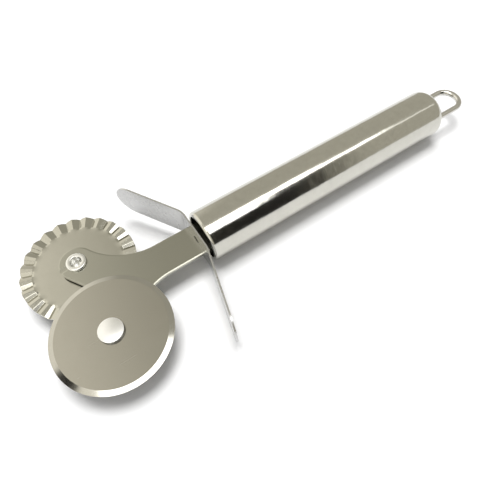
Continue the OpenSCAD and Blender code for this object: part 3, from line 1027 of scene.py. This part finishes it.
class PASTRY_OT_stage(bpy.types.Operator):
    """Makes the floor, the soft light and the camera"""

    bl_idname = "pastry.stage"
    bl_label = "Stage"

    def execute(self, context):
        settings = settings_of("cutter_stage")
        deselect()
        bpy.ops.mesh.primitive_plane_add(size=settings.floor_size, location=(0, 0, 0))
        floor = bpy.context.object
        floor.name = "table"
        floor.data.materials.append(table_paper("white table"))
        glow = settings.radiance
        for name, place, size, radiance in (
                ("softbox over the wheels", (0.06, 0.165, 0.61), (0.72, 0.19), glow),
                ("softbox over the handle", (-0.40, 0.19, 0.61), (0.20, 0.12), glow),
                ("softbox by the camera", (-0.09, 0.37, 0.61), (0.20, 0.22), glow),
                ("strip over the handle's end", (-0.62, 0.215, 0.61), (0.24, 0.045), glow / 3)):
            softbox = self.lamp(name, place, size, radiance)
            softbox.visible_diffuse = False
        key = self.lamp("key for the table", (-0.20, -0.47, 2.5), (1.35, 1.35), settings.key)
        key.visible_glossy = False
        self.room(settings.dim_walls, settings.bright_walls, settings.fill, settings.backdrop)
        self.camera(settings.lens)
        context.scene.view_settings.view_transform = "Standard"
        return {"FINISHED"}

    def lamp(self, name, place, size, radiance):
        """An area light facing straight down, as bright as any other of the same radiance."""
        bpy.ops.object.light_add(type="AREA", location=place)
        light = bpy.context.object
        light.name = name
        light.data.shape = "RECTANGLE"
        light.data.size = size[0]
        light.data.size_y = size[1]
        light.data.energy = radiance * size[0] * size[1] * math.pi
        return light

    def room(self, dim, bright, fill, backdrop):
        """A warm room that shows in the steel alone; the table gets a plain light all over."""
        world = bpy.data.worlds.new("room")
        bpy.context.scene.world = world
        world.use_nodes = True
        nodes = world.node_tree.nodes
        links = world.node_tree.links
        nodes.clear()
        wall_frame = nodes.new("NodeFrame")
        wall_frame.label = "Walls"
        doorway_frame = nodes.new("NodeFrame")
        doorway_frame.label = "Doorway on the camera's side"
        gap_frame = nodes.new("NodeFrame")
        gap_frame.label = "Gap beyond the wheels"

        place = nodes.new("ShaderNodeTexCoord")
        place.label = "Direction into the room"
        lean = nodes.new("ShaderNodeVectorMath")
        lean.label = "Towards the bright walls"
        lean.operation = "DOT_PRODUCT"
        lean.inputs[1].default_value = (3.0, -1.1, 0)
        lean.parent = wall_frame
        share = nodes.new("ShaderNodeMapRange")
        share.label = "Dim to bright"
        share.inputs["From Min"].default_value = 0.35
        share.inputs["From Max"].default_value = 1.35
        share.parent = wall_frame
        walls = nodes.new("ShaderNodeMix")
        walls.label = "Colour of the walls"
        walls.data_type = "RGBA"
        walls.inputs["A"].default_value = (*dim, 1)
        walls.inputs["B"].default_value = (*bright, 1)
        walls.parent = wall_frame

        split = nodes.new("ShaderNodeSeparateXYZ")
        split.label = "Sides of the room"
        split.parent = doorway_frame
        near = nodes.new("ShaderNodeMapRange")
        near.label = "Towards the camera's side"
        near.interpolation_type = "SMOOTHSTEP"
        near.inputs["From Min"].default_value = 0.35
        near.inputs["From Max"].default_value = 0.42
        near.parent = doorway_frame
        middle = nodes.new("ShaderNodeMapRange")
        middle.label = "Not past the handle's end"
        middle.interpolation_type = "SMOOTHSTEP"
        middle.inputs["From Min"].default_value = -0.57
        middle.inputs["From Max"].default_value = -0.38
        middle.parent = doorway_frame
        before = nodes.new("ShaderNodeMapRange")
        before.label = "Not past the wheels"
        before.interpolation_type = "SMOOTHSTEP"
        before.inputs["From Min"].default_value = 0.04
        before.inputs["From Max"].default_value = -0.07
        before.parent = doorway_frame
        width = nodes.new("ShaderNodeMath")
        width.label = "Between its two sides"
        width.operation = "MULTIPLY"
        width.parent = doorway_frame
        doorway = nodes.new("ShaderNodeMath")
        doorway.label = "Doorway"
        doorway.operation = "MULTIPLY"
        doorway.parent = doorway_frame

        far = nodes.new("ShaderNodeVectorMath")
        far.label = "Distance from the gap"
        far.operation = "DISTANCE"
        far.inputs[1].default_value = (0.65, -0.16, 0.74)
        far.parent = gap_frame
        gap = nodes.new("ShaderNodeMapRange")
        gap.label = "Gap"
        gap.interpolation_type = "SMOOTHSTEP"
        gap.inputs["From Min"].default_value = 0.19
        gap.inputs["From Max"].default_value = 0.11
        gap.parent = gap_frame

        openings = nodes.new("ShaderNodeMath")
        openings.label = "Both dark openings"
        openings.operation = "MAXIMUM"
        shade = nodes.new("ShaderNodeMix")
        shade.label = "Walls or openings"
        shade.data_type = "RGBA"
        shade.inputs["B"].default_value = (0.012, 0.011, 0.010, 1)
        path = nodes.new("ShaderNodeLightPath")
        path.label = "Seen in the steel"
        either = nodes.new("ShaderNodeMix")
        either.label = "Plain light or the room"
        either.data_type = "RGBA"
        behind = nodes.new("ShaderNodeMix")
        behind.label = "Plain light or the backdrop"
        behind.data_type = "RGBA"
        behind.inputs["A"].default_value = (*fill, 1)
        behind.inputs["B"].default_value = (*backdrop, 1)
        background = nodes.new("ShaderNodeBackground")
        background.label = "Light of the room"
        background.inputs["Strength"].default_value = 1.4
        output = nodes.new("ShaderNodeOutputWorld")
        output.label = "Room"

        links.new(place.outputs["Generated"], lean.inputs[0])
        links.new(lean.outputs["Value"], share.inputs["Value"])
        links.new(share.outputs["Result"], walls.inputs["Factor"])
        links.new(place.outputs["Generated"], split.inputs["Vector"])
        links.new(split.outputs["Y"], near.inputs["Value"])
        links.new(split.outputs["X"], middle.inputs["Value"])
        links.new(near.outputs["Result"], doorway.inputs[0])
        links.new(split.outputs["X"], before.inputs["Value"])
        links.new(middle.outputs["Result"], width.inputs[0])
        links.new(before.outputs["Result"], width.inputs[1])
        links.new(width.outputs["Value"], doorway.inputs[1])
        links.new(place.outputs["Generated"], far.inputs[0])
        links.new(far.outputs["Value"], gap.inputs["Value"])
        links.new(doorway.outputs["Value"], openings.inputs[0])
        links.new(gap.outputs["Result"], openings.inputs[1])
        links.new(openings.outputs["Value"], shade.inputs["Factor"])
        links.new(walls.outputs["Result"], shade.inputs["A"])
        links.new(path.outputs["Is Camera Ray"], behind.inputs["Factor"])
        links.new(behind.outputs["Result"], either.inputs["A"])
        links.new(path.outputs["Is Glossy Ray"], either.inputs["Factor"])
        links.new(shade.outputs["Result"], either.inputs["B"])
        links.new(either.outputs["Result"], background.inputs["Color"])
        links.new(background.outputs["Background"], output.inputs["Surface"])
        columns = ((place,), (lean, split, far), (share, near, gap), (walls, middle, before),
                   (width,), (doorway,), (openings,), (shade, path), (behind,), (either,),
                   (background,), (output,))
        for column, row_nodes in enumerate(columns):
            for row, node in enumerate(row_nodes):
                node.location = (column * 240 - 1000, 400 - row * 260)

    def camera(self, lens):
        """A camera above the tool's side, turned a little about its own view."""
        data = bpy.data.cameras.new("camera")
        camera = bpy.data.objects.new("camera", data)
        bpy.context.scene.collection.objects.link(camera)
        data.lens = lens
        data.sensor_width = 36
        data.clip_start = 0.01
        data.clip_end = 50
        # The camera stands by the tool's own axes, and is laid down with it
        place = Vector((28.42, 79.45, 133.72)) * MM
        right = Vector((-0.8323, 0.5540, -0.0195)).normalized()
        ahead = Vector((-0.2607, -0.4222, -0.8682)).normalized()
        up = right.cross(ahead).normalized()
        right = ahead.cross(up)
        turn = Matrix((right, up, -ahead)).transposed()
        lying = Matrix.Rotation(ROLL, 3, "X")
        camera.matrix_world = Matrix.Translation(MOUTH + lying @ place) @ (lying @ turn).to_4x4()
        bpy.context.scene.camera = camera


class PASTRY_PT_panel(bpy.types.Panel):
    """Lists the settings and the steps"""

    bl_label = "Pastry cutter"
    bl_idname = "PASTRY_PT_panel"
    bl_space_type = "VIEW_3D"
    bl_region_type = "UI"
    bl_category = "Pastry cutter"

    def draw(self, context):
        for name in GROUPS:
            settings = getattr(context.scene, name)
            box = self.layout.box()
            for key in settings.__annotations__:
                box.prop(settings, key)
        for step in STEPS:
            self.layout.operator(step.bl_idname)


GROUPS = {"cutter_handle": HandleSizes, "cutter_sheet": SheetSizes,
          "cutter_wheels": WheelSizes, "cutter_finish": FinishColours,
          "cutter_stage": StageSettings}
STEPS = (PASTRY_OT_handle, PASTRY_OT_loop, PASTRY_OT_plate, PASTRY_OT_guard,
         PASTRY_OT_plain_wheel, PASTRY_OT_fluted_wheel, PASTRY_OT_rivets,
         PASTRY_OT_small_parts, PASTRY_OT_stage)


def register():
    for group in GROUPS.values():
        bpy.utils.register_class(group)
    for step in STEPS:
        bpy.utils.register_class(step)
    bpy.utils.register_class(PASTRY_PT_panel)
    for name, group in GROUPS.items():
        setattr(bpy.types.Scene, name, bpy.props.PointerProperty(type=group))


def unregister():
    for name in GROUPS:
        delattr(bpy.types.Scene, name)
    for known in (PASTRY_PT_panel, *reversed(STEPS), *GROUPS.values()):
        bpy.utils.unregister_class(known)


def main():
    register()
    bpy.ops.pastry.handle()
    bpy.ops.pastry.loop()
    bpy.ops.pastry.plate()
    bpy.ops.pastry.guard()
    bpy.ops.pastry.plain_wheel()
    bpy.ops.pastry.fluted_wheel()
    bpy.ops.pastry.rivets()
    bpy.ops.pastry.small_parts()
    bpy.ops.pastry.stage()


if __name__ == "__main__":
    main()
